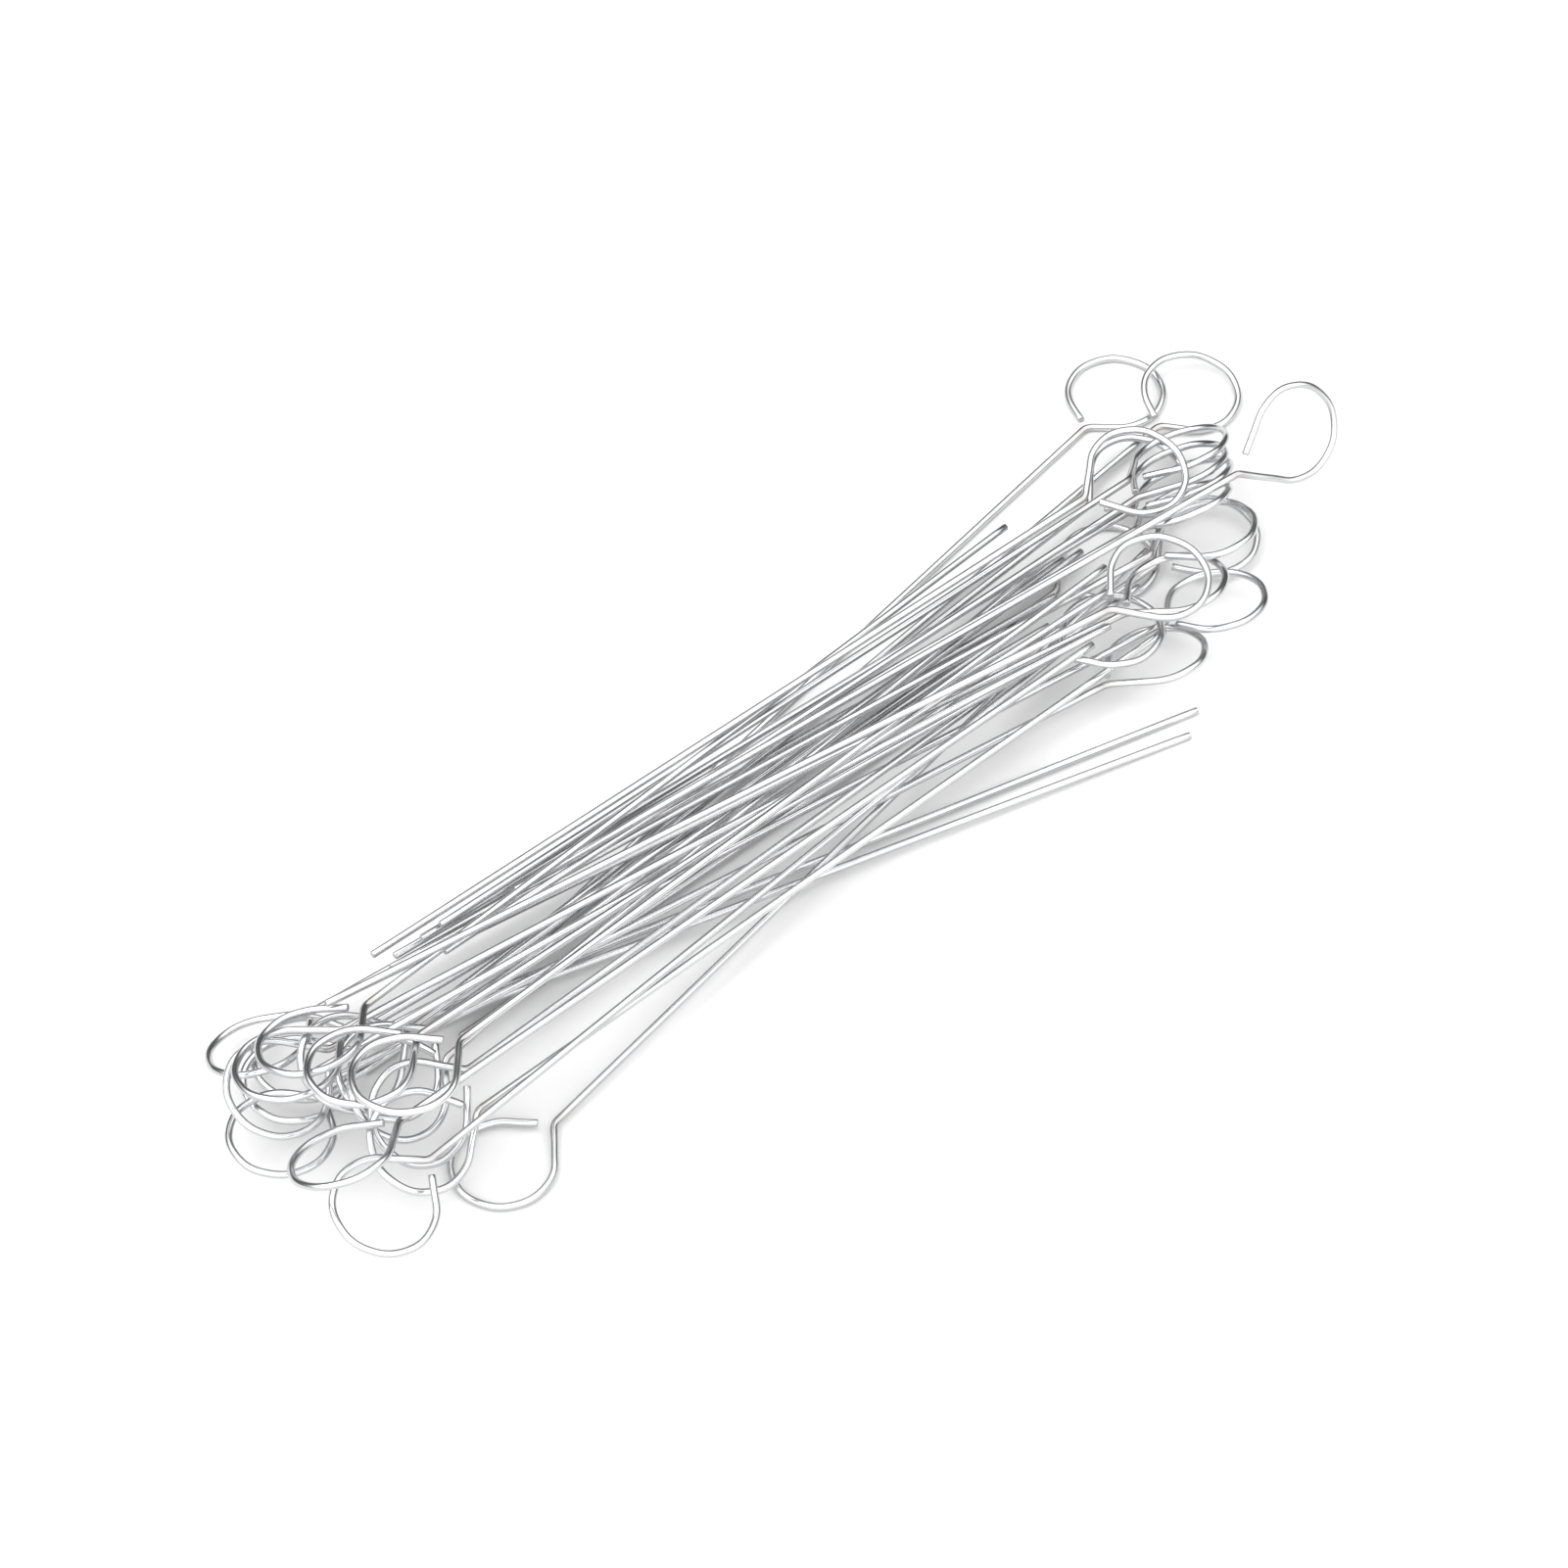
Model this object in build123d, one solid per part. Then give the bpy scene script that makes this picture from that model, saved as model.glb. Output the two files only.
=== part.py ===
from build123d import *
from collections import namedtuple
from math import asin, atan2, ceil, cos, floor, pi, radians, sin, sqrt
import os

# A heap of loose steel wire needles. Each is one length of drawn wire: a straight stem cut square
# at the tail, and at the other end a neck bend and an open loop, the eye. Half of the needles lie
# with their eyes towards +X and half towards -X.
# Millimetres. The heap lies along X on the floor z = 0, and +Z is up.

# The needle
WIRE = 1.1              # wire diameter
LENGTH = 150.0          # overall, from the tail to the far side of the eye
EYE_RADIUS = 7.15       # to the middle of the wire
NECK_RADIUS = 2.2       # inside the neck bend, to the middle of the wire
EYE_LEAN = 6.0          # degrees by which the eye leans to the side of its cut end
# How far the middle of the eye stands from the neck, and how far short of the neck the wire ends
EYES = {"round": (8.4, 1.6), "drop": (9.6, 2.2), "long": (11.4, 3.0)}

# The heap
CLEARANCE = 0.2         # least air between two needles
STEP = 0.6              # spacing of the points at which one needle is laid on the others
CELL = 1.5              # size of the squares in which those points are looked up
SETTLING_ROUNDS = 3     # times that a needle's slope is worked out again
TURNS = (0, -4, 4, -8, 8)   # degrees by which an eye may turn to lie lower
SHIFTS = (0, -0.7, 0.7, -1.4, 1.4)    # and how far either end may roll aside to lie lower

# One line for each needle, from the floor up. X and Y are counted from a point near the middle.
# end     +1 for an eye towards +X, -1 for one towards -X
# x, y    where the middle of the eye is
# waist   the Y at which the stem, or its line, crosses X = 0
# tilt    degrees by which the eye's +Y side stands up
# side    the side, seen from above, to which the wire leaves the neck: +1 left, -1 right
# eye     which of EYES
Needle = namedtuple("Needle", "end x y waist tilt side eye")

LAID = [
    # flat ones on the floor
    Needle(+1, 92, 28, 12, 0, -1, "round"),
    Needle(+1, 68, 2, 3, 0, 1, "drop"),
    Needle(+1, 82, -4, -1, -5, 1, "drop"),
    Needle(+1, 100, 20, 9, 0, -1, "round"),
    Needle(-1, -80, 8, -9, 5, 1, "drop"),
    Needle(-1, -84, 3, -14, 5, -1, "drop"),
    Needle(-1, -70, -23, -10, 4, 1, "drop"),
    Needle(-1, -92, -5, -3, 0, -1, "round"),
    Needle(-1, -85, 9, 4, -32, -1, "drop"),
    Needle(+1, 59, -16, -7, -28, -1, "drop"),
    Needle(+1, 82, 13, 6, 5, 1, "drop"),
    Needle(+1, 72, -14, -5, -8, 1, "round"),
    # eyes towards -X that lean towards +Y, each on the one before
    Needle(-1, -89, 0, 1, 20, -1, "drop"),
    Needle(-1, -79, -3, 4, 24, 1, "drop"),
    Needle(-1, -76, -8, 1, 28, -1, "drop"),
    Needle(-1, -77, -11, -1, 30, 1, "round"),
    Needle(-1, -77, -14, -13, 30, -1, "drop"),
    Needle(-1, -80, -18, -15, 20, 1, "drop"),
    Needle(-1, -91, -24, -13, 9, -1, "drop"),
    # eyes towards +X that lean towards -Y, each on the one before
    Needle(+1, 55, -12, -7, -12, 1, "drop"),
    Needle(+1, 67, -12, -4, -22, -1, "drop"),
    Needle(+1, 78, -8, -2, -26, 1, "drop"),
    Needle(+1, 80, -1, 2, -30, 1, "round"),
    Needle(+1, 84, 3, 3, -36, 1, "drop"),
    Needle(+1, 85, 6, 4, -40, -1, "drop"),
    Needle(+1, 87, 8, 5, -40, 1, "drop"),
    # the last ones, on top
    Needle(+1, 99, -3, 4, 52, -1, "long"),
    Needle(-1, -92, -19, -13, -34, 1, "drop"),
    Needle(-1, -88, -2, -9, -20, -1, "drop"),
    Needle(-1, -84, -2, 6, -25, 1, "drop"),
    Needle(+1, 76, 7, 4, 22, 1, "drop"),
    Needle(-1, -83, -12, -6, -13, 1, "drop"),
    Needle(-1, -80, -18, -9, -13, 1, "drop"),
    Needle(+1, 63, -11, -8, 17, -1, "drop"),
]


def eye_of(needle):
    """Where the neck, the eye's middle and the eye's bends are, in the needle's own plane.

    The first coordinate runs along the stem from the tail, and the second to the stem's left.
    """
    reach, gap = EYES[needle.eye]
    lean = radians(EYE_LEAN)
    spread = asin(EYE_RADIUS / reach)
    neck = LENGTH - WIRE / 2 - EYE_RADIUS - reach * cos(lean)
    straight = reach * cos(spread)

    def point(along, angle):
        """A point at a distance from the neck, at an angle to the stem."""
        return neck + along * cos(angle), needle.side * along * sin(angle)

    bend = NECK_RADIUS * sin((spread - lean) / 2) / cos((spread - lean) / 2)
    return {
        "tail": (0.0, 0.0),
        "bend start": (neck - bend, 0.0),
        "bend end": point(bend, spread - lean),
        "loop start": point(straight, spread - lean),
        "loop top": point(reach + EYE_RADIUS, -lean),
        "loop end": point(straight, -spread - lean),
        "cut end": point(gap, -spread - lean),
        "middle": point(reach, -lean),
    }


def centre_line(eye, side):
    """Points along the middle of the wire, STEP or a little less apart, in the needle's own plane."""
    def run(a, b):
        count = ceil(sqrt((b[0] - a[0]) ** 2 + (b[1] - a[1]) ** 2) / STEP)
        return [(a[0] + (b[0] - a[0]) * n / count, a[1] + (b[1] - a[1]) * n / count)
                for n in range(count + 1)]

    mid = eye["middle"]
    first, last = (atan2(eye[k][1] - mid[1], eye[k][0] - mid[0]) for k in ("loop start", "loop end"))
    turn = (last - first) % (2 * pi) if side < 0 else -((first - last) % (2 * pi))
    count = ceil(EYE_RADIUS * abs(turn) / STEP)
    loop = [(mid[0] + EYE_RADIUS * cos(first + turn * n / count),
             mid[1] + EYE_RADIUS * sin(first + turn * n / count)) for n in range(count + 1)]
    return (run(eye["tail"], eye["bend start"]) + run(eye["bend start"], eye["bend end"])
            + run(eye["bend end"], eye["loop start"]) + loop + run(eye["loop end"], eye["cut end"]))


class Pose:
    """Where a needle lies: its tail, the direction of its stem and the direction to the stem's left."""

    def __init__(self, needle, middle, slope):
        heading = atan2(needle.y - needle.waist, needle.x)
        pitch, roll = asin(slope), radians(needle.tilt) * needle.end
        flat = (-sin(heading), cos(heading), 0)
        up = (-sin(pitch) * cos(heading), -sin(pitch) * sin(heading), cos(pitch))
        self.along = (cos(pitch) * cos(heading), cos(pitch) * sin(heading), sin(pitch))
        self.left = tuple(cos(roll) * f + sin(roll) * u for f, u in zip(flat, up))
        self.normal = tuple(cos(roll) * u - sin(roll) * f for f, u in zip(flat, up))
        reach = [middle[0] * a + middle[1] * b for a, b in zip(self.along, self.left)]
        self.tail = [needle.x - reach[0], needle.y - reach[1], 0.0]

    def at(self, point):
        return tuple(t + point[0] * a + point[1] * b
                     for t, a, b in zip(self.tail, self.along, self.left))


def cell_of(x, y):
    return floor(x / CELL), floor(y / CELL)


def supports(points, pose, laid):
    """(distance along the stem, least height of the stem's line there) for every point of a needle."""
    apart = WIRE + CLEARANCE
    found = []
    for s, w in points:
        x, y, z = pose.at((s, w))
        own = z - pose.tail[2] - s * pose.along[2]
        need = WIRE / 2
        column, row = cell_of(x, y)
        for i in (column - 1, column, column + 1):
            for j in (row - 1, row, row + 1):
                for px, py, pz in laid.get((i, j), ()):
                    gap = (px - x) ** 2 + (py - y) ** 2
                    if gap < apart ** 2:
                        need = max(need, pz + sqrt(apart ** 2 - gap))
        found.append((s, need - own))
    return found


def resting_line(found, balance):
    """(height at the tail, slope) of the lowest line over all the supports that the needle balances on."""
    hull = []
    for s, h in sorted(found):
        while len(hull) > 1:
            (s1, h1), (s2, h2) = hull[-2:]
            if (h2 - h1) * (s - s1) > (h - h1) * (s2 - s1):
                break
            hull.pop()
        if hull and hull[-1][0] == s:
            if hull[-1][1] >= h:
                continue
            hull.pop()
        hull.append((s, h))
    for (s1, h1), (s2, h2) in zip(hull, hull[1:]):
        if s1 <= balance <= s2:
            rise = (h2 - h1) / (s2 - s1)
            return h1 - rise * s1, rise


def settle(needle, laid):
    """(height of the needle where it balances, its pose, the points along it) on the needles laid."""
    eye = eye_of(needle)
    points = centre_line(eye, needle.side)
    balance = sum(s for s, w in points) / len(points)
    slope = 0.0
    for _ in range(SETTLING_ROUNDS):
        pose = Pose(needle, eye["middle"], slope)
        height, slope = resting_line(supports(points, pose, laid), balance)
    pose = Pose(needle, eye["middle"], slope)
    pose.tail[2] = 0.0
    found = supports(points, pose, laid)
    pose.tail[2] = max(h - s * slope for s, h in found)
    return pose.tail[2] + slope * balance, pose, [pose.at(p) for p in points]


def lay():
    """[(needle, pose)] from the first laid to the last, with the middle of the heap over the origin.

    Each needle rolls aside and turns a little to lie lower.
    """
    laid, order = {}, []
    for needle in LAID:
        for field, changes in (("waist", SHIFTS), ("y", SHIFTS), ("tilt", TURNS), ("waist", SHIFTS)):
            near = [needle._replace(**{field: getattr(needle, field) + change}) for change in changes]
            height, pose, points, needle = min(((*settle(n, laid), n) for n in near), key=lambda t: t[0])
        order.append((needle, pose))
        for x, y, z in points:
            laid.setdefault(cell_of(x, y), []).append((x, y, z))
    spots = [spot for near in laid.values() for spot in near]
    for axis in (0, 1):
        ends = [spot[axis] for spot in spots]
        for needle, pose in order:
            pose.tail[axis] -= (min(ends) + max(ends)) / 2
    return order


# Solids
def wire(needle, pose):
    """One needle as a solid."""
    eye = eye_of(needle)
    plane = Plane(origin=pose.tail, x_dir=pose.along, z_dir=pose.normal)
    p = {name: plane.from_local_coords(Vector(*xy, 0)) for name, xy in eye.items()}
    neck = TangentArc(p["bend start"], p["bend end"], tangent=Vector(*pose.along))
    path = Wire([
        Line(p["tail"], p["bend start"]).edge(),
        neck.edge(),
        Line(p["bend end"], p["loop start"]).edge(),
        ThreePointArc(p["loop start"], p["loop top"], p["loop end"]).edge(),
        Line(p["loop end"], p["cut end"]).edge(),
    ])
    section = Plane(origin=pose.tail, x_dir=pose.left, z_dir=pose.along) * Circle(WIRE / 2)
    return sweep(section, path)


os.makedirs("parts", exist_ok=True)
for number, (needle, pose) in enumerate(lay(), 1):
    export_step(wire(needle, pose), f"parts/needle_{number:02d}.step")
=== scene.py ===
"""A heap of loose steel wire needles with open loop eyes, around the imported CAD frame.

Metres, +Z up. Each needle's CAD wire is read back into a tail, a stem direction and an eye, and a
finer wire with sheared ends is drawn on the same middle line.
"""
from itertools import product
from math import asin, atan2, cos, pi, radians, sin, tan

import bpy
import numpy as np
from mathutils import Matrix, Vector


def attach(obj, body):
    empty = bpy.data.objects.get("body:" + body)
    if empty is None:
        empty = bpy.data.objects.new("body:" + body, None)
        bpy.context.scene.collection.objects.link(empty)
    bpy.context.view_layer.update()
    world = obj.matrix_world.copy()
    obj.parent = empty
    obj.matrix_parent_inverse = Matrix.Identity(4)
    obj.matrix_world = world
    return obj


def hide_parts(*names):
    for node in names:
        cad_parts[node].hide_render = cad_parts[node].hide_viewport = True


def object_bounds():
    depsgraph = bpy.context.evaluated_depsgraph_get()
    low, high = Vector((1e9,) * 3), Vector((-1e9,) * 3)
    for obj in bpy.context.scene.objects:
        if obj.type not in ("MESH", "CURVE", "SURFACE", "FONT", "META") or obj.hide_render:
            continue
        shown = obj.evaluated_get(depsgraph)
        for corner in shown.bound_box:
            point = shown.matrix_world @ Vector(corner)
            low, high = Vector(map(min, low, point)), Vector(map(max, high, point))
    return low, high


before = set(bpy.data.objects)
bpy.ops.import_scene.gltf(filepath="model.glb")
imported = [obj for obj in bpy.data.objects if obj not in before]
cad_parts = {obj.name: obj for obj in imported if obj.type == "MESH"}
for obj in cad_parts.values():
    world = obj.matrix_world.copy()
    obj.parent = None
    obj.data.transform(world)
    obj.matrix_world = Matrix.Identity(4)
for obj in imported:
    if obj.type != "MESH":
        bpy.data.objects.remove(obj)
cad_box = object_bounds()

# The needle, in metres. These are the sizes of the CAD wires.
MM = 0.001
WIRE_RADIUS = 0.55 * MM
LENGTH = 150 * MM
EYE_RADIUS = 7.15 * MM      # to the middle of the wire
NECK_RADIUS = 2.2 * MM      # of the neck bend, to the middle of the wire
EYE_LEAN = radians(6)
# How far the middle of the eye stands from the neck, and how far short of the neck the wire ends
EYES = {
    "round": (8.4 * MM, 1.6 * MM),
    "drop": (9.6 * MM, 2.2 * MM),
    "long": (11.4 * MM, 3.0 * MM),
}

# Reading a CAD wire, whose vertices lie on rings
END_RING = 0.3 * MM         # how far from the tail's end its ring may lie
RING_DEPTH = 0.15 * MM      # how far apart along the wire one ring's vertices may lie
EYE_STRETCH = 2 * EYE_RADIUS    # of the wire, at either end, that tells the eye from the tail
SHAPE_STRETCH = 4 * EYE_RADIUS  # of the wire, before its end, that shows which of EYES it has

# The mesh
AROUND = 20                 # sides of the wire
STEM_STEP = 2.5 * MM        # between two rings on a straight stretch
BEND_STEP = 0.45 * MM       # between two rings on the eye
NECK_STEP = BEND_STEP / 3   # and on the neck bend
SHORT_STEP = BEND_STEP * 2  # and on the two straight stretches beside the eye
SHEAR = radians(7)          # by which a sheared end is out of square
ROLLOVER = 0.09 * MM        # how far back the shear has rolled the edge over
# The rings of a rolled edge: the share of ROLLOVER back from the cut, and of the wire's radius
ROLLED_EDGE = ((0.0, 0.80), (0.35, 0.93), (1.0, 1.0))
WOBBLE = 0.03 * MM          # by which hand bending leaves the eye uneven
WOBBLE_LENGTH = 5.3 * MM    # of one wave sideways
HEIGHT_WAVES = 0.77         # of the wobble in height, for each wave sideways
HEIGHT_TURN = 1.9           # times CUT_TURN, by which the wobble in height differs
FLATTENING = 0.04           # share by which the wire is flatter at the neck bend
NECK_REACH = 1.6 * NECK_RADIUS  # how far from the neck bend the wire is flatter and duller
CUT_TURN = 2.4              # radians by which each needle's cuts and wobble differ from the last's
SKIN_UNIT = 10 * MM         # of distance along the wire, in the skin attribute

# The steel
NOISE_STEP = 1.7            # between two needles' places in the noise
NOISE_LOW, NOISE_HIGH = 0.3, 0.7    # between which the noise mostly stays

# The view
VIEW_ELEVATION = radians(50)
VIEW_TURN = radians(-40.7)  # of the picture's right-hand direction, from +X
VIEW_DISTANCE = 1.0
VIEW_WIDTH = 0.2255         # of the picture, at the heap
AIM = Vector((0.00019, 0.00115, 0))
VIEW_AWAY = Vector((-sin(VIEW_TURN), cos(VIEW_TURN), 0))

# The floor, in metres, with its tones. It is a painted pool of light: white near the middle, and
# painted grey further off as painted shade.
FLOOR_SIZE = 60
PAINTED_LIGHT_POOL_TO = 0.25
PAINTED_FALLOFF_FROM = 1.0
PAINTED_LIGHT_POOL_WHITE = 0.68
PAINTED_FALLOFF_GREY = 0.34

# The sky: how far its white part leans towards the camera's side, and its strengths
SKY_TILT = radians(28)
SKY_DARK_TO = 0.16          # height up that leaning axis, from -1 to 1
SKY_WHITE_FROM = 0.40
SKY_DARK = 0.14
SKY_WHITE = 2.15

# The lamp, in metres and watts
KEY_PLACE = (-0.5, 0.5, 1.1)
KEY_SIZE = 0.9
KEY_POWER = 5


# Reading the CAD wires

def unit(vector):
    return vector / np.linalg.norm(vector)


def eye_points(kind, side):
    """Where a needle's bends and its eye's middle are, in its plane: (along, left) of the tail."""
    reach, gap = EYES[kind]
    spread = asin(EYE_RADIUS / reach)
    neck = LENGTH - WIRE_RADIUS - EYE_RADIUS - reach * cos(EYE_LEAN)
    straight = reach * cos(spread)
    bend = NECK_RADIUS * tan((spread - EYE_LEAN) / 2)

    def point(away, angle):
        return np.array((neck + away * cos(angle), side * away * sin(angle)))

    return {
        "tail": np.zeros(2),
        "bend start": np.array((neck - bend, 0)),
        "bend middle": np.array((neck - bend, side * NECK_RADIUS)),
        "bend end": point(bend, spread - EYE_LEAN),
        "loop start": point(straight, spread - EYE_LEAN),
        "middle": point(reach, -EYE_LEAN),
        "loop end": point(straight, -spread - EYE_LEAN),
        "cut end": point(gap, -spread - EYE_LEAN),
    }


def straight_run(start, end, step):
    """Points from start to end, and the direction there."""
    count = max(1, round(np.linalg.norm(end - start) / step))
    return [(start + (end - start) * n / count, unit(end - start)) for n in range(count + 1)]


def arc_run(start, end, middle, turn, step):
    """Points round middle from start to end, and the direction there. Turn +1 is anticlockwise."""
    radius = np.linalg.norm(start - middle)
    first = atan2(*(start - middle)[::-1])
    sweep = (turn * (atan2(*(end - middle)[::-1]) - first)) % (2 * pi)
    count = max(2, round(radius * sweep / step))
    run = []
    for n in range(count + 1):
        angle = first + turn * sweep * n / count
        outward = np.array((cos(angle), sin(angle)))
        run.append((middle + radius * outward, turn * np.array((-outward[1], outward[0]))))
    return run


def middle_line(kind, side):
    """[(point, direction)] from the tail to the cut end, in the needle's plane."""
    p = eye_points(kind, side)
    runs = [
        straight_run(p["tail"], p["bend start"], STEM_STEP),
        arc_run(p["bend start"], p["bend end"], p["bend middle"], side, NECK_STEP),
        straight_run(p["bend end"], p["loop start"], SHORT_STEP),
        arc_run(p["loop start"], p["loop end"], p["middle"], -side, BEND_STEP),
        straight_run(p["loop end"], p["cut end"], SHORT_STEP),
    ]
    line = runs[0]
    for run in runs[1:]:
        line = line + run[1:]
    return line


LINES = {shape: middle_line(*shape) for shape in product(EYES, (1, -1))}


def off_the_line(flat, line):
    """How far, on average, the points are from lying on a wire round the line."""
    middle = np.array([point for point, direction in line])
    apart = np.linalg.norm(flat[:, None, :] - middle[None, :, :], axis=2).min(axis=1)
    return np.clip(apart - WIRE_RADIUS, 0, None).mean()


class Wire:
    """Where a CAD needle lies: its tail, its stem's direction, its plane and its eye's shape."""

    def __init__(self, node):
        points = np.array([v.co for v in node.data.vertices])
        points = np.unique(points.round(7), axis=0)
        spread = points - points.mean(axis=0)
        # The three directions in which the wire is long, wide and thin
        along, across, normal = np.linalg.svd(spread, full_matrices=False)[2]
        normal = normal * np.sign(normal[2])
        if self.width(spread, along, across, -1) > self.width(spread, along, across, 1):
            along = -along
        # The stem runs from the middle of the tail's ring of vertices to the middle of the next
        far = spread @ along
        past_tail = far > far.min() + END_RING
        next_far = far[past_tail]
        next_ring = points[past_tail][next_far < next_far.min() + RING_DEPTH]
        self.tail = points[far < far.min() + END_RING].mean(axis=0)
        self.along = unit(next_ring.mean(axis=0) - self.tail)
        self.normal = unit(normal - self.along * (normal @ self.along))
        self.left = np.cross(self.normal, self.along)
        reach = points - self.tail
        flat = np.column_stack([reach @ self.along, reach @ self.left])
        eye_end = flat[flat[:, 0] > LENGTH - SHAPE_STRETCH]
        self.shape = min(LINES, key=lambda shape: off_the_line(eye_end, LINES[shape]))

    @staticmethod
    def width(spread, along, across, end):
        """How wide the wire's end is, to tell the eye from the tail."""
        far = spread @ along * end
        return np.ptp((spread @ across)[far > far.max() - EYE_STRETCH])

    def at(self, point, height):
        """Where a point of the needle's plane is, raised by a height."""
        return self.tail + self.along * point[0] + self.left * point[1] + self.normal * height


# Materials

def new_material(name):
    material = bpy.data.materials.new(name)
    material.use_nodes = True
    tree = material.node_tree
    return material, tree, tree.nodes["Principled BSDF"]


def add(tree, kind, values=None, **settings):
    """A new node with its properties and its unlinked inputs set."""
    node = tree.nodes.new(kind)
    for name, value in settings.items():
        setattr(node, name, value)
    for name, value in (values or {}).items():
        node.inputs[name].default_value = value
    return node


def skin_noise(tree, along, around, detail):
    """Noise over a wire's skin: so many features for each 10 mm along and each radian round it."""
    skin = add(tree, "ShaderNodeAttribute", attribute_name="skin")
    number = add(tree, "ShaderNodeAttribute", attribute_name="needle_number")
    place = add(tree, "ShaderNodeVectorMath", operation="MULTIPLY")
    place.inputs[1].default_value = (along, around, around)
    noise = add(tree, "ShaderNodeTexNoise", {"Scale": 1, "Detail": detail}, noise_dimensions="4D")
    tree.links.new(skin.outputs["Vector"], place.inputs[0])
    tree.links.new(place.outputs["Vector"], noise.inputs["Vector"])
    tree.links.new(number.outputs["Fac"], noise.inputs["W"])
    return noise.outputs["Fac"]


def drawn_steel():
    """Bright drawn steel: long streaks and fine die lines, a slow change of tone, a duller neck."""
    material, tree, shader = new_material("drawn_steel")
    link = tree.links.new
    shader.inputs["Metallic"].default_value = 1
    worked = add(tree, "ShaderNodeAttribute", attribute_name="worked")
    patches = skin_noise(tree, 0.35, 0.5, 2)
    streaks = skin_noise(tree, 0.3, 1.4, 2)
    die_lines = skin_noise(tree, 0.8, 9, 3)

    tone = add(tree, "ShaderNodeValToRGB")
    tone.color_ramp.elements[0].position = NOISE_LOW
    tone.color_ramp.elements[0].color = (0.48, 0.485, 0.495, 1)
    tone.color_ramp.elements[1].position = NOISE_HIGH
    tone.color_ramp.elements[1].color = (0.66, 0.66, 0.665, 1)
    link(patches, tone.inputs["Fac"])
    stain = add(tree, "ShaderNodeMix", {"B": (0.42, 0.41, 0.40, 1)}, data_type="RGBA")
    link(worked.outputs["Fac"], stain.inputs["Factor"])
    link(tone.outputs["Color"], stain.inputs["A"])
    link(stain.outputs["Result"], shader.inputs["Base Color"])

    gloss = add(tree, "ShaderNodeMapRange",
                {"From Min": NOISE_LOW, "From Max": NOISE_HIGH, "To Min": 0.14, "To Max": 0.25})
    link(streaks, gloss.inputs["Value"])
    link(gloss.outputs["Result"], shader.inputs["Roughness"])
    draw_marks = add(tree, "ShaderNodeBump", {"Strength": 0.5, "Distance": 0.00004})
    link(streaks, draw_marks.inputs["Height"])
    fine_marks = add(tree, "ShaderNodeBump", {"Strength": 0.12, "Distance": 0.000004})
    link(die_lines, fine_marks.inputs["Height"])
    link(draw_marks.outputs["Normal"], fine_marks.inputs["Normal"])
    link(fine_marks.outputs["Normal"], shader.inputs["Normal"])
    return material


def sheared_steel():
    """The dull, torn face of a sheared end."""
    material, tree, shader = new_material("sheared_steel")
    link = tree.links.new
    shader.inputs["Metallic"].default_value = 1
    place = add(tree, "ShaderNodeTexCoord")
    grain = add(tree, "ShaderNodeTexNoise", {"Scale": 6000, "Detail": 4})
    link(place.outputs["Object"], grain.inputs["Vector"])
    tone = add(tree, "ShaderNodeValToRGB")
    tone.color_ramp.elements[0].color = (0.30, 0.30, 0.31, 1)
    tone.color_ramp.elements[1].color = (0.62, 0.62, 0.63, 1)
    link(grain.outputs["Fac"], tone.inputs["Fac"])
    link(tone.outputs["Color"], shader.inputs["Base Color"])
    shader.inputs["Roughness"].default_value = 0.45
    bump = add(tree, "ShaderNodeBump", {"Strength": 0.6, "Distance": 0.00004})
    link(grain.outputs["Fac"], bump.inputs["Height"])
    link(bump.outputs["Normal"], shader.inputs["Normal"])
    return material


# Drawing the wires

def ring(wire, point, lift, direction, radius, flatter, shear, turned):
    """One ring of the wire's skin. A sheared ring leans along the wire, towards the turned side."""
    sideways = np.array((-direction[1], direction[0]))
    corners = []
    for n in range(AROUND):
        angle = 2 * pi * n / AROUND
        across = radius * cos(angle) * (1 + flatter / 2)
        height = radius * sin(angle) * (1 - flatter / 2)
        lean = shear * radius * (1 + cos(angle - turned)) / 2
        corners.append(wire.at(point + sideways * across + direction * lean, lift + height))
    return corners


def wire_rings(wire, number):
    """(rings, distances along the wire, how much each is worked) from the tail to the cut end."""
    line = LINES[wire.shape]
    bend_start = eye_points(*wire.shape)["bend start"]
    turned = CUT_TURN * number
    rings, travelled, worked = [], [], []
    distance = 0.0
    last = line[0][0]
    for n, (point, direction) in enumerate(line):
        distance += np.linalg.norm(point - last)
        last = point
        near_neck = max(0.0, 1 - np.linalg.norm(point - bend_start) / NECK_REACH)
        # The stem is straight, and the wobble grows over the first part of the bent end
        bent = min(1.0, max(0.0, (point[0] - bend_start[0]) / EYE_RADIUS))
        wave = 2 * pi * distance / WOBBLE_LENGTH
        sideways = np.array((-direction[1], direction[0]))
        uneven = sideways * bent * WOBBLE * sin(wave + turned)
        height = bent * WOBBLE * sin(HEIGHT_WAVES * wave + HEIGHT_TURN * turned)
        if n == 0:
            steps, shear = ROLLED_EDGE, tan(SHEAR)
        elif n == len(line) - 1:
            steps, shear = [(-back, share) for back, share in reversed(ROLLED_EDGE)], -tan(SHEAR)
        else:
            steps, shear = [(0.0, 1.0)], 0.0
        for back, share in steps:
            place = point + uneven + direction * back * ROLLOVER
            rings.append(ring(wire, place, height, direction, WIRE_RADIUS * share,
                              FLATTENING * near_neck, shear, turned))
            travelled.append(distance + back * ROLLOVER)
            worked.append(near_neck)
    return rings, travelled, worked


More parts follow.
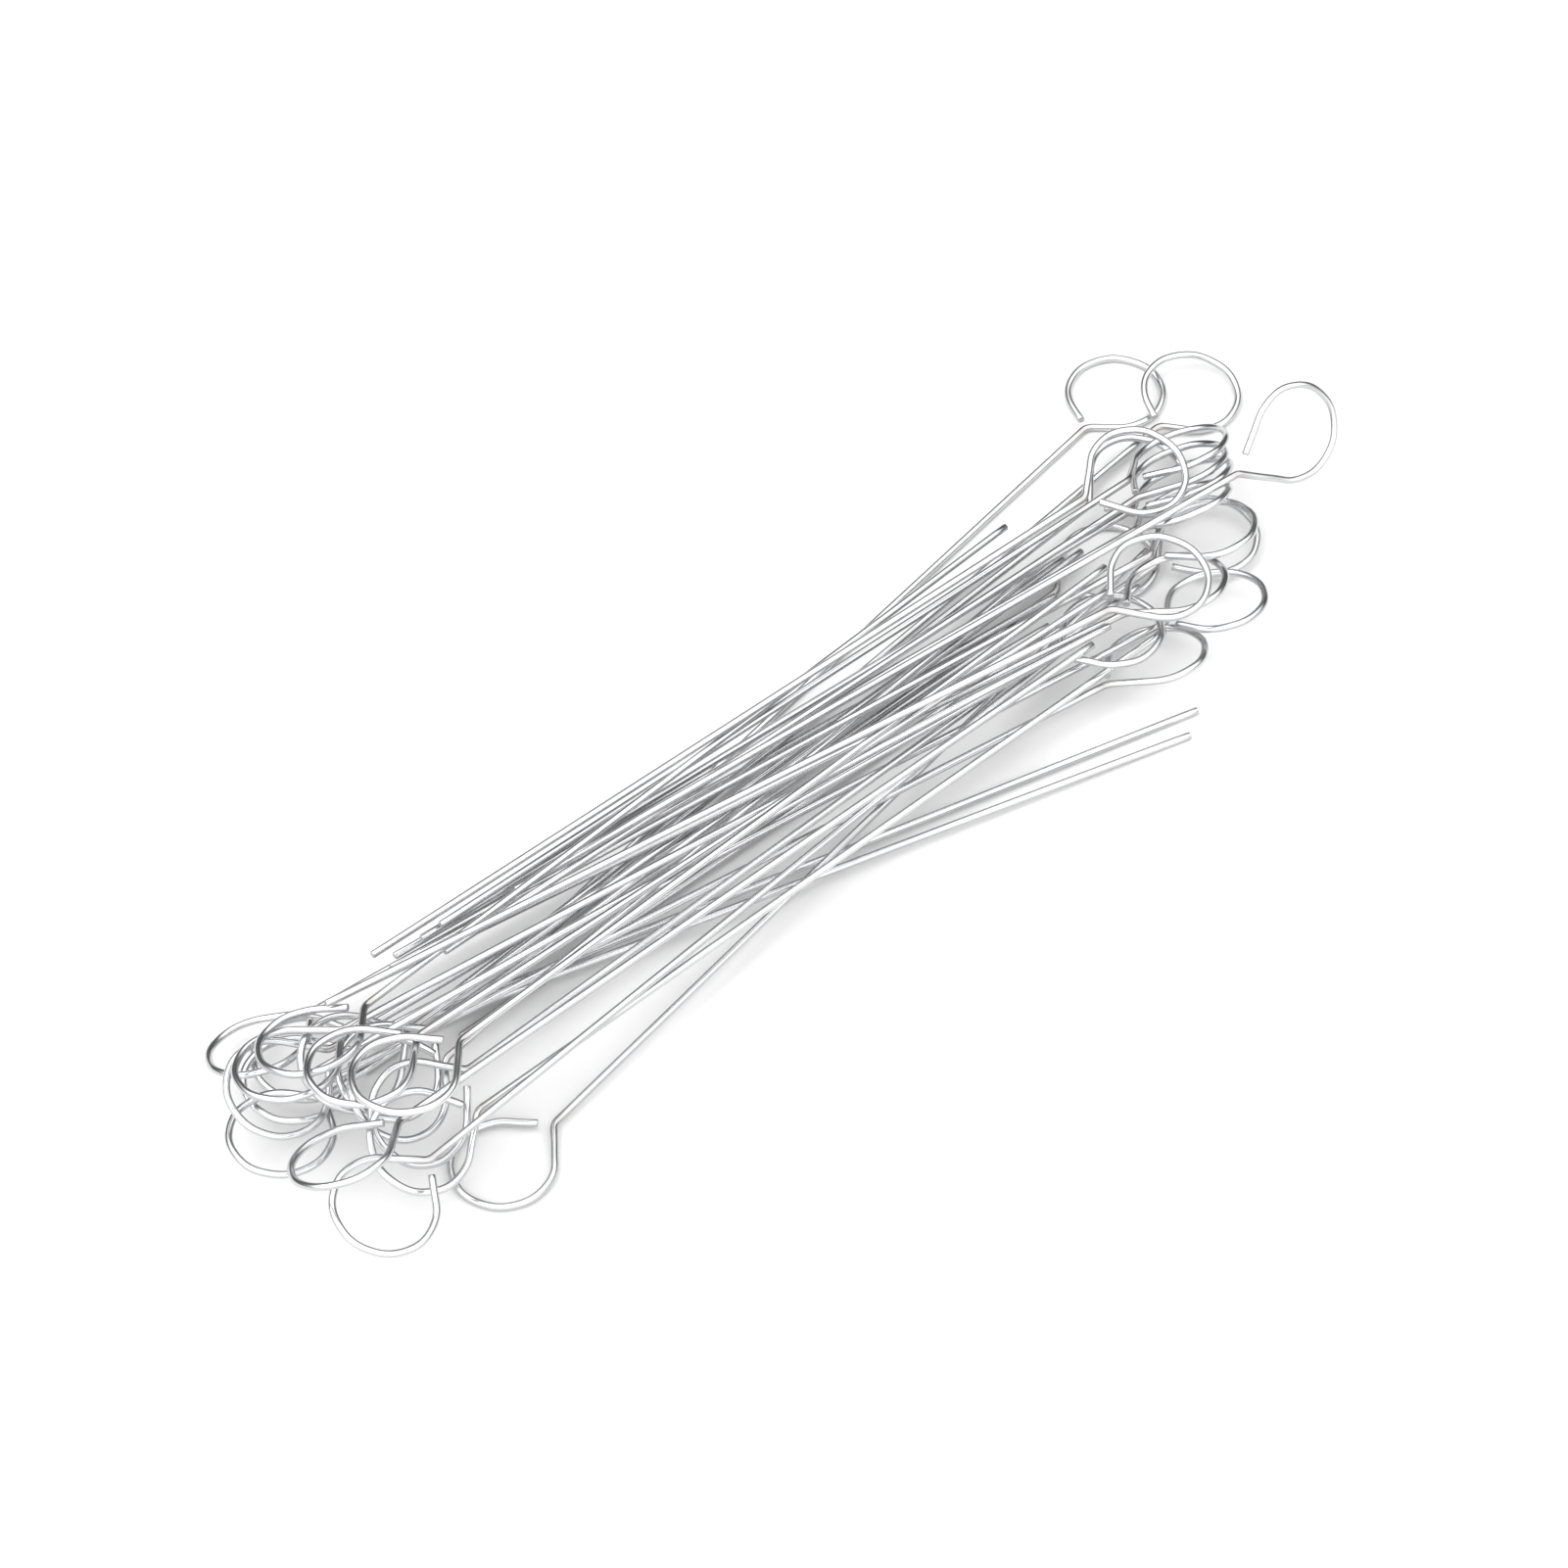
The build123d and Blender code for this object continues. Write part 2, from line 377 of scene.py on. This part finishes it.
def wire_faces(ring_count):
    """(faces, their material slots): the skin between the rings, then a fan over each cut end.

    The fans meet in two points that come after the last ring, the tail's first.
    """
    faces, slots = [], []
    for r in range(ring_count - 1):
        this, following = r * AROUND, (r + 1) * AROUND
        for n in range(AROUND):
            m = (n + 1) % AROUND
            faces.append((this + n, this + m, following + m, following + n))
            slots.append(0)
    tail_hub, cut_hub = ring_count * AROUND, ring_count * AROUND + 1
    end = (ring_count - 1) * AROUND
    for n in range(AROUND):
        m = (n + 1) % AROUND
        faces += [(tail_hub, m, n), (cut_hub, end + n, end + m)]
        slots += [1, 1]
    return faces, slots


def mark(mesh, name, kind, values):
    """A value at each point of a mesh, for its materials to read."""
    field = "vector" if kind == "FLOAT_VECTOR" else "value"
    mesh.attributes.new(name, kind, "POINT").data.foreach_set(field, values)


def draw_wire(name, wire, number, materials):
    """A needle's visible wire, as one mesh that knows where on its skin each point is."""
    rings, travelled, worked = wire_rings(wire, number)
    corners = [corner for one in rings for corner in one]
    corners += [np.mean(rings[0], axis=0), np.mean(rings[-1], axis=0)]
    faces, slots = wire_faces(len(rings))
    mesh = bpy.data.meshes.new(name)
    mesh.from_pydata([tuple(c) for c in corners], [], faces)
    mesh.polygons.foreach_set("material_index", slots)
    for material in materials:
        mesh.materials.append(material)

    ring_of = [r for r in range(len(rings)) for _ in range(AROUND)] + [0, len(rings) - 1]
    skin = []
    for n, r in enumerate(ring_of):
        angle = 2 * pi * n / AROUND
        skin += [travelled[r] / SKIN_UNIT, cos(angle), sin(angle)]
    mark(mesh, "skin", "FLOAT_VECTOR", skin)
    mark(mesh, "worked", "FLOAT", [worked[r] for r in ring_of])
    mark(mesh, "needle_number", "FLOAT", [NOISE_STEP * number] * len(corners))
    mesh.shade_smooth()
    rims = [set(range(r * AROUND, (r + 1) * AROUND)) for r in (0, len(rings) - 1)]
    for edge in mesh.edges:
        edge.use_edge_sharp = any(set(edge.vertices) <= rim for rim in rims)
    mesh.validate()
    mesh.update()
    piece = bpy.data.objects.new(name, mesh)
    bpy.context.collection.objects.link(piece)
    return piece


def draw_needles():
    materials = drawn_steel(), sheared_steel()
    for number, (name, node) in enumerate(sorted(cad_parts.items()), 1):
        wire = Wire(node)
        piece = draw_wire(name + "_wire", wire, number, materials)
        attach(piece, name)
        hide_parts(name)


# The studio

def floor():
    """Paper with a painted pool of light: white round the heap and painted greyer further off,
    behind needles that are lifted high.
    """
    bpy.ops.mesh.primitive_plane_add(size=FLOOR_SIZE, location=(0, 0, cad_box[0][2]))
    plane = bpy.context.object
    plane.name = "floor"
    material, tree, shader = new_material("floor_paper_painted_light_pool")
    shader.inputs["Roughness"].default_value = 0.9
    place = add(tree, "ShaderNodeTexCoord")
    away = add(tree, "ShaderNodeVectorMath", operation="LENGTH")
    tree.links.new(place.outputs["Object"], away.inputs[0])
    # painted pool of light: the paper's colour fades from white to a painted grey shade with
    # distance from the middle
    tone = add(tree, "ShaderNodeMapRange", {"From Min": PAINTED_LIGHT_POOL_TO, "From Max": PAINTED_FALLOFF_FROM,
                                            "To Min": PAINTED_LIGHT_POOL_WHITE, "To Max": PAINTED_FALLOFF_GREY},
               interpolation_type="SMOOTHSTEP")
    tree.links.new(away.outputs["Value"], tone.inputs["Value"])
    tree.links.new(tone.outputs["Result"], shader.inputs["Base Color"])
    plane.data.materials.append(material)


def softbox(name, place, size, power):
    """A square lamp that faces the heap."""
    lamp = bpy.data.lights.new(name, "AREA")
    lamp.shape = "SQUARE"
    lamp.size = size
    lamp.energy = power
    holder = bpy.data.objects.new(name, lamp)
    holder.location = place
    holder.rotation_euler = (-Vector(place)).to_track_quat("-Z", "Y").to_euler()
    bpy.context.collection.objects.link(holder)


def sky():
    """A white sky, dark low down on the far side, so that each wire gets one thin dark edge."""
    world = bpy.data.worlds.new("studio")
    bpy.context.scene.world = world
    world.use_nodes = True
    tree = world.node_tree
    link = tree.links.new
    far = VIEW_AWAY * -sin(SKY_TILT)
    place = add(tree, "ShaderNodeTexCoord")
    height = add(tree, "ShaderNodeVectorMath", operation="DOT_PRODUCT")
    height.inputs[1].default_value = (far.x, far.y, cos(SKY_TILT))
    link(place.outputs["Generated"], height.inputs[0])
    band = add(tree, "ShaderNodeMapRange", {"From Min": SKY_DARK_TO, "From Max": SKY_WHITE_FROM,
                                            "To Min": SKY_DARK, "To Max": SKY_WHITE},
               interpolation_type="SMOOTHSTEP")
    link(height.outputs["Value"], band.inputs["Value"])
    sky_light = tree.nodes["Background"]
    sky_light.inputs["Color"].default_value = (1, 1, 1, 1)
    link(band.outputs["Result"], sky_light.inputs["Strength"])
    bpy.context.scene.view_settings.view_transform = "Standard"


def camera():
    lens = bpy.data.cameras.new("camera")
    lens.sensor_width = 36
    lens.lens = lens.sensor_width * VIEW_DISTANCE / VIEW_WIDTH
    lens.clip_start = 0.05
    holder = bpy.data.objects.new("camera", lens)
    look = VIEW_AWAY * cos(VIEW_ELEVATION) - Vector((0, 0, sin(VIEW_ELEVATION)))
    holder.location = AIM - look * VIEW_DISTANCE
    holder.rotation_euler = look.to_track_quat("-Z", "Y").to_euler()
    bpy.context.collection.objects.link(holder)
    bpy.context.scene.camera = holder


draw_needles()
floor()
sky()
softbox("key", KEY_PLACE, KEY_SIZE, KEY_POWER)
camera()
